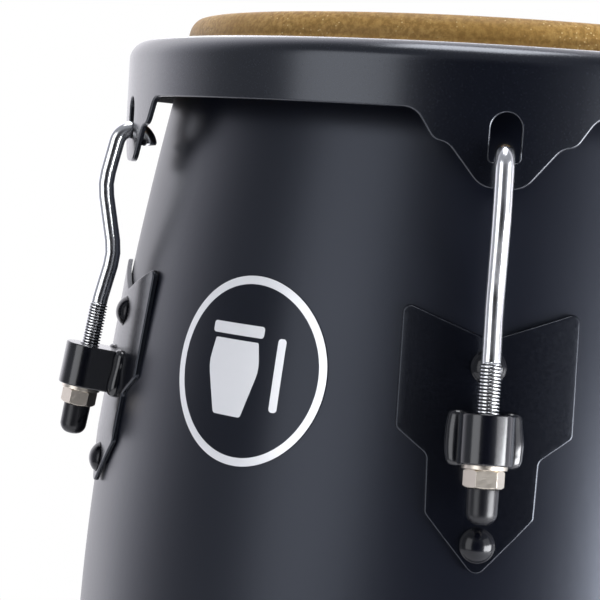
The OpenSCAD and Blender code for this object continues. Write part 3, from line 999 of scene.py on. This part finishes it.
CAMERA_AZIMUTH = math.radians(-57.03)
CAMERA_REACH = 0.7714
CAMERA_DROP = 0.0407
LOOK_AZIMUTH = math.radians(128.75)
LOOK_DOWN = math.radians(5.25)
ROLL = math.radians(3.64)
LENS = 101.1
FLOOR_R = 1.25
LIGHT_COLOUR = (0.96, 0.97, 1.0)

# Azimuth from the camera's, height, distance, (width, height), power, height aimed at.
SOFTBOXES = {
    "left_box": (-40, 0.75, 1.5, (0.85, 1.5), 8.5, 0.6),
    "right_box": (57, 1.0, 1.5, (1.1, 1.0), 5, 0.7),
    "low_right_box": (61, 0.28, 1.5, (1.15, 0.66), 48, 0.3),
    "back_box": (180, 1.6, 1.9, (1.6, 0.8), 9, 0.2),
    "top_box": (-20, 2.3, 0.2, (0.8, 0.8), 17, 0.6),
}

# The colour of the surroundings, from 0 behind the camera to 1 behind the drum.
SURROUNDINGS = [(0.015, (0.004, 0.004, 0.005)), (0.1, (0.14, 0.145, 0.16)),
                (0.5, (0.165, 0.172, 0.19)), (0.7, (0.72, 0.71, 0.78)),
                (0.79, (0.95, 0.94, 1.0)), (0.92, (0.66, 0.65, 0.69))]
SURROUNDINGS_STRENGTH = 2.0


def toward(azimuth, elevation=0.0):
    """The direction at an azimuth and an elevation."""
    return Vector((math.cos(azimuth) * math.cos(elevation),
                   math.sin(azimuth) * math.cos(elevation), math.sin(elevation)))


def make_camera():
    look = toward(LOOK_AZIMUTH, -LOOK_DOWN)
    right = look.cross(Vector((0, 0, 1))).normalized()
    up = right.cross(look)
    tilted_right = right * math.cos(ROLL) + up * math.sin(ROLL)
    tilted_up = tilted_right.cross(look)
    data = bpy.data.cameras.new("camera")
    data.lens = LENS
    data.sensor_width = 36
    camera = bpy.data.objects.new("camera", data)
    place = toward(CAMERA_AZIMUTH) * CAMERA_REACH + Vector((0, 0, RIM_TOP - CAMERA_DROP))
    turn = Matrix((tilted_right, tilted_up, -look)).transposed().to_4x4()
    camera.matrix_world = Matrix.Translation(place) @ turn
    bpy.context.scene.collection.objects.link(camera)
    bpy.context.scene.camera = camera


def softbox(name, azimuth, height, distance, size, power, aim_z):
    """A rectangular light round the drum, at an azimuth counted from the camera's."""
    data = bpy.data.lights.new(name, "AREA")
    data.shape = "RECTANGLE"
    data.size, data.size_y = size
    data.energy = power
    data.color = LIGHT_COLOUR
    light = bpy.data.objects.new(name, data)
    place = toward(CAMERA_AZIMUTH + math.radians(azimuth)) * distance + Vector((0, 0, height))
    turn = (Vector((0, 0, aim_z)) - place).to_track_quat("-Z", "Y").to_matrix().to_4x4()
    light.matrix_world = Matrix.Translation(place) @ turn
    bpy.context.scene.collection.objects.link(light)


def make_world():
    """White to the eye. Lights the drum softly, most from behind, as a white studio sweep does."""
    world = bpy.data.worlds.new("studio")
    world.use_nodes = True
    nodes, links = world.node_tree.nodes, world.node_tree.links
    nodes.clear()
    direction = nodes.new("ShaderNodeTexCoord")
    behind = nodes.new("ShaderNodeVectorMath")
    behind.operation = "DOT_PRODUCT"
    behind.inputs[1].default_value = toward(CAMERA_AZIMUTH + math.pi)
    spread = nodes.new("ShaderNodeMapRange")
    spread.inputs["From Min"].default_value = -1.0
    ramp = nodes.new("ShaderNodeValToRGB")
    set_stops(ramp, SURROUNDINGS)
    soft = nodes.new("ShaderNodeBackground")
    soft.inputs["Strength"].default_value = SURROUNDINGS_STRENGTH
    seen = nodes.new("ShaderNodeBackground")
    seen.inputs["Color"].default_value = (1, 1, 1, 1)
    path = nodes.new("ShaderNodeLightPath")
    mix = nodes.new("ShaderNodeMixShader")
    out = nodes.new("ShaderNodeOutputWorld")
    links.new(direction.outputs["Generated"], behind.inputs[0])
    links.new(behind.outputs["Value"], spread.inputs["Value"])
    links.new(spread.outputs["Result"], ramp.inputs["Fac"])
    links.new(ramp.outputs["Color"], soft.inputs["Color"])
    links.new(path.outputs["Is Camera Ray"], mix.inputs["Fac"])
    links.new(soft.outputs["Background"], mix.inputs[1])
    links.new(seen.outputs["Background"], mix.inputs[2])
    links.new(mix.outputs["Shader"], out.inputs["Surface"])
    bpy.context.scene.world = world


def make_floor():
    finish = Finish("floor_paper", Base_Color=(0.88, 0.88, 0.88, 1), Roughness=0.9)
    finish.bump(finish.noise(scale=40, detail=2), strength=0.02, distance=0.001)
    edge = arc(0, 0, FLOOR_R, FLOOR_R, 0, 357, 119)
    floor = new_piece("floor", [(x, y, 0) for x, y in edge], [tuple(range(len(edge)))])
    floor.data.materials.append(finish.material)


make_camera()
make_world()
make_floor()
for box_name, box_settings in SOFTBOXES.items():
    softbox(box_name, *box_settings)
bpy.context.scene.view_settings.view_transform = "Standard"
